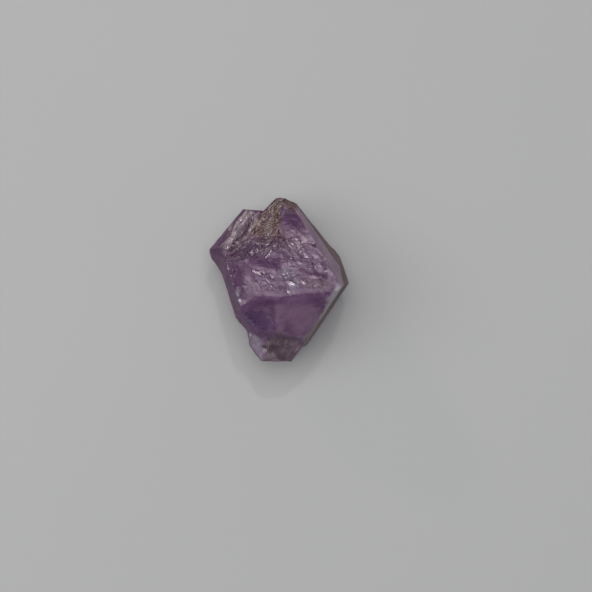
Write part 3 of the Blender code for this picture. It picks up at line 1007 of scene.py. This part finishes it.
    def painted_highlights(self, skin):
        """The skin with painted highlights on the shoulder's bright band and strands, and painted glints on
        the growth face and front.
        """
        mixed, ranged, product, pale, highlight_paint = self.mixed, self.ranged, self.product, self.pale, self.highlight_paint
        painted_glints = ranged(self.cells, 0.42, 0.20)
        grown_place, calm_place = self.highest(self.grown, "band"), ranged("dark", 0.0, 0.6, 1.0, 0.0)
        return self.layered(
            skin,
            (product("band", ranged("stria", 0.3, 0.8, 0.0, 0.3)), pale),
            (product("band", self.thin, 0.6), highlight_paint),
            ("strand", highlight_paint),
            (product(painted_glints, grown_place, ranged(self.diagonal["Fine"], 0.44, 0.54), 0.9),
             mixed("high", highlight_paint, mixed(0.5, self.tan, highlight_paint))),
            (product(painted_glints, "front", ranged(self.fibres, 0.50, 0.56), calm_place, 0.7),
             mixed(0.5, pale, highlight_paint)),
        )

    def roughness(self):
        """Smooth where the crystal is broken or has flat facets, and dull where it is worn or stained."""
        etched = self.ranged(self.clouds, 0.35, 0.7, 0.37, 0.55)
        dull = self.highest("worn", "stained", "left", "rim")
        rough = self.total(etched, self.product(dull, 0.2))
        return node(self.tree, "ShaderNodeMix", {0: self.smooth, 2: rough, 3: 0.25}).outputs[0]

    def bump(self):
        """A normal for the lines, cells and grain that are too fine for the skin's grid."""
        total, product = self.total, self.product
        diagonal = total(self.diagonal["Streak"], self.diagonal["Fine"])
        lines = total(product(diagonal, self.grown, 2.5), product(self.level["Fine"], "front"))
        height = total(product(self.cells, 0.5), total(lines, product(self.grain, 0.9)))
        height = product(height, self.ranged(self.smooth, 0.0, 1.0, 1.0, 0.4))
        return node(self.tree, "ShaderNodeBump",
                    {"Strength": 0.5, "Distance": 0.00003, "Height": height}).outputs[0]

    def sheen(self):
        """The tint of reflected light: purple, with warm, unlit, shaded, dusty and bright places."""
        highest, product, ranged = self.highest, self.product, self.ranged
        furrows = product(self.grown, ranged("stria", 0.15, 0.6, 0.85, 0.0))
        between_strands = product("shoulder", ranged("strand", 0.0, 0.5, 0.6, 0.0))
        return self.layered(
            SHEEN,
            (highest(product("growth", "high"), "stained", "valley"), WARM_SHEEN),
            (highest(furrows, between_strands), FURROW_SHEEN),
            (product("lobe", 0.8), LOBE_SHEEN),
            (highest(product("dark", 0.8), product("left", 0.6)), SHADED_SHEEN),
            (product(self.outer, "dusted", 0.9), DUSTY_SHEEN),
            (product("flat", 0.7), FACET_SHEEN),
        )


def crystal_material(colour):
    """See-through purple crystal whose tint, roughness and bump change from face to face."""
    material = bpy.data.materials.new("purple crystal")
    material.use_nodes = True
    tree = material.node_tree
    tree.nodes.clear()
    paint = CrystalPaint(tree, colour)
    shader = node(tree, "ShaderNodeBsdfPrincipled", {
        "Base Color": paint.painted_highlights(paint.broken_faces(paint.upper_faces())),
        "Roughness": paint.roughness(),
        "Metallic": 0.0,
        "Transmission Weight": CLEARNESS,
        "IOR": REFRACTION,
        "Specular Tint": paint.sheen(),
        "Normal": paint.bump(),
    })
    inside = node(tree, "ShaderNodeVolumeAbsorption", {"Color": ABSORBED_TINT, "Density": colour.density})
    node(tree, "ShaderNodeOutputMaterial", {"Surface": shader.outputs[0], "Volume": inside.outputs[0]})
    return material


def plain_material(name, colour):
    """Matt finish with the faintest mottling."""
    material = bpy.data.materials.new(name)
    material.use_nodes = True
    paint = Shading(material.node_tree)
    mottle = node(paint.tree, "ShaderNodeTexNoise", {"Vector": paint.place, "Scale": 40.0, "Detail": 2.0})
    darker = tuple(channel * 0.96 for channel in colour)
    mottled = paint.mixed(mottle.outputs[0], (*colour, 1), (*darker, 1))
    shader = paint.tree.nodes["Principled BSDF"]
    paint.tree.links.new(mottled, shader.inputs["Base Color"])
    shader.inputs["Roughness"].default_value = 0.9
    return material


def area_light(name, place, aim, size, watts, colour=(1, 1, 1)):
    """A square soft light at a place, turned to its aim."""
    lamp = bpy.data.lights.new(name, "AREA")
    lamp.size = size
    lamp.energy = watts
    lamp.color = colour
    made = bpy.data.objects.new(name, lamp)
    made.location = place
    made.rotation_euler = (Vector(aim) - Vector(place)).to_track_quat("-Z", "Y").to_euler()
    bpy.context.scene.collection.objects.link(made)


class ROUGHDIAMOND_OT_crystal(bpy.types.Operator):
    """Build the crystal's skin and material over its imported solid"""

    bl_idname = "rough_diamond.crystal"
    bl_label = "Build Crystal"

    def execute(self, context):
        piece = crystal_skin(context.scene.rough_diamond_form)
        piece.data.materials.append(crystal_material(context.scene.rough_diamond_colour))
        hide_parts(NODE)
        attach(piece, "root")
        return {"FINISHED"}


class ROUGHDIAMOND_OT_stage(bpy.types.Operator):
    """Build the floor, the soft lights and the camera that looks straight down"""

    bl_idname = "rough_diamond.stage"
    bl_label = "Build Stage"

    def execute(self, context):
        setup = context.scene.rough_diamond_stage
        bpy.ops.mesh.primitive_plane_add(size=1.2, location=(0, 0, 0))
        floor = context.object
        floor.name = "floor"
        floor.data.materials.append(plain_material("pale floor", setup.floor_colour))

        aim = (0, 0, 0.002)
        area_light("window panel", 0.45 * outward(90, 78), aim, size=0.36, watts=0.75)
        area_light("left panel", (-0.14, 0.0, 0.12), aim, size=0.14, watts=0.075)
        area_light("sparkle lamp", 0.40 * outward(80, 54), aim, size=0.016, watts=0.10)
        area_light("low lamp", 0.35 * outward(130, 20), aim, size=0.02, watts=0.05, colour=(1.0, 0.86, 0.72))

        world = bpy.data.worlds.new("soft room")
        world.use_nodes = True
        air = world.node_tree.nodes["Background"].inputs
        air["Color"].default_value = (0.9, 0.93, 1.0, 1)
        air["Strength"].default_value = 0.15
        context.scene.world = world
        context.scene.view_settings.view_transform = "Standard"

        girth = 0.0023  # height of the crystal's widest section
        camera = bpy.data.cameras.new("camera")
        camera.sensor_width = 36
        camera.lens = camera.sensor_width * (setup.camera_height - girth) / setup.view_width
        camera.clip_start = 0.001
        camera.clip_end = 10
        made = bpy.data.objects.new("camera", camera)
        made.location = (*VIEW_MIDDLE, setup.camera_height)
        context.scene.collection.objects.link(made)
        context.scene.camera = made
        return {"FINISHED"}


class ROUGHDIAMOND_PT_panel(bpy.types.Panel):
    """Sizes, colours and build buttons of the rough diamond"""

    bl_idname = "ROUGHDIAMOND_PT_panel"
    bl_label = "Rough Diamond"
    bl_space_type = "VIEW_3D"
    bl_region_type = "UI"
    bl_category = "Rough Diamond"

    def draw(self, context):
        for group in (
            context.scene.rough_diamond_form,
            context.scene.rough_diamond_colour,
            context.scene.rough_diamond_stage,
        ):
            box = self.layout.box()
            for name in group.__annotations__:
                box.prop(group, name)
        self.layout.operator(ROUGHDIAMOND_OT_crystal.bl_idname)
        self.layout.operator(ROUGHDIAMOND_OT_stage.bl_idname)


CLASSES = (
    CrystalForm,
    CrystalColour,
    StageSetup,
    ROUGHDIAMOND_OT_crystal,
    ROUGHDIAMOND_OT_stage,
    ROUGHDIAMOND_PT_panel,
)


def register():
    for cls in CLASSES:
        bpy.utils.register_class(cls)
    bpy.types.Scene.rough_diamond_form = bpy.props.PointerProperty(type=CrystalForm)
    bpy.types.Scene.rough_diamond_colour = bpy.props.PointerProperty(type=CrystalColour)
    bpy.types.Scene.rough_diamond_stage = bpy.props.PointerProperty(type=StageSetup)


def unregister():
    del bpy.types.Scene.rough_diamond_stage
    del bpy.types.Scene.rough_diamond_colour
    del bpy.types.Scene.rough_diamond_form
    for cls in reversed(CLASSES):
        bpy.utils.unregister_class(cls)


def main():
    register()
    bpy.ops.rough_diamond.crystal()
    bpy.ops.rough_diamond.stage()


if __name__ == "__main__":
    main()
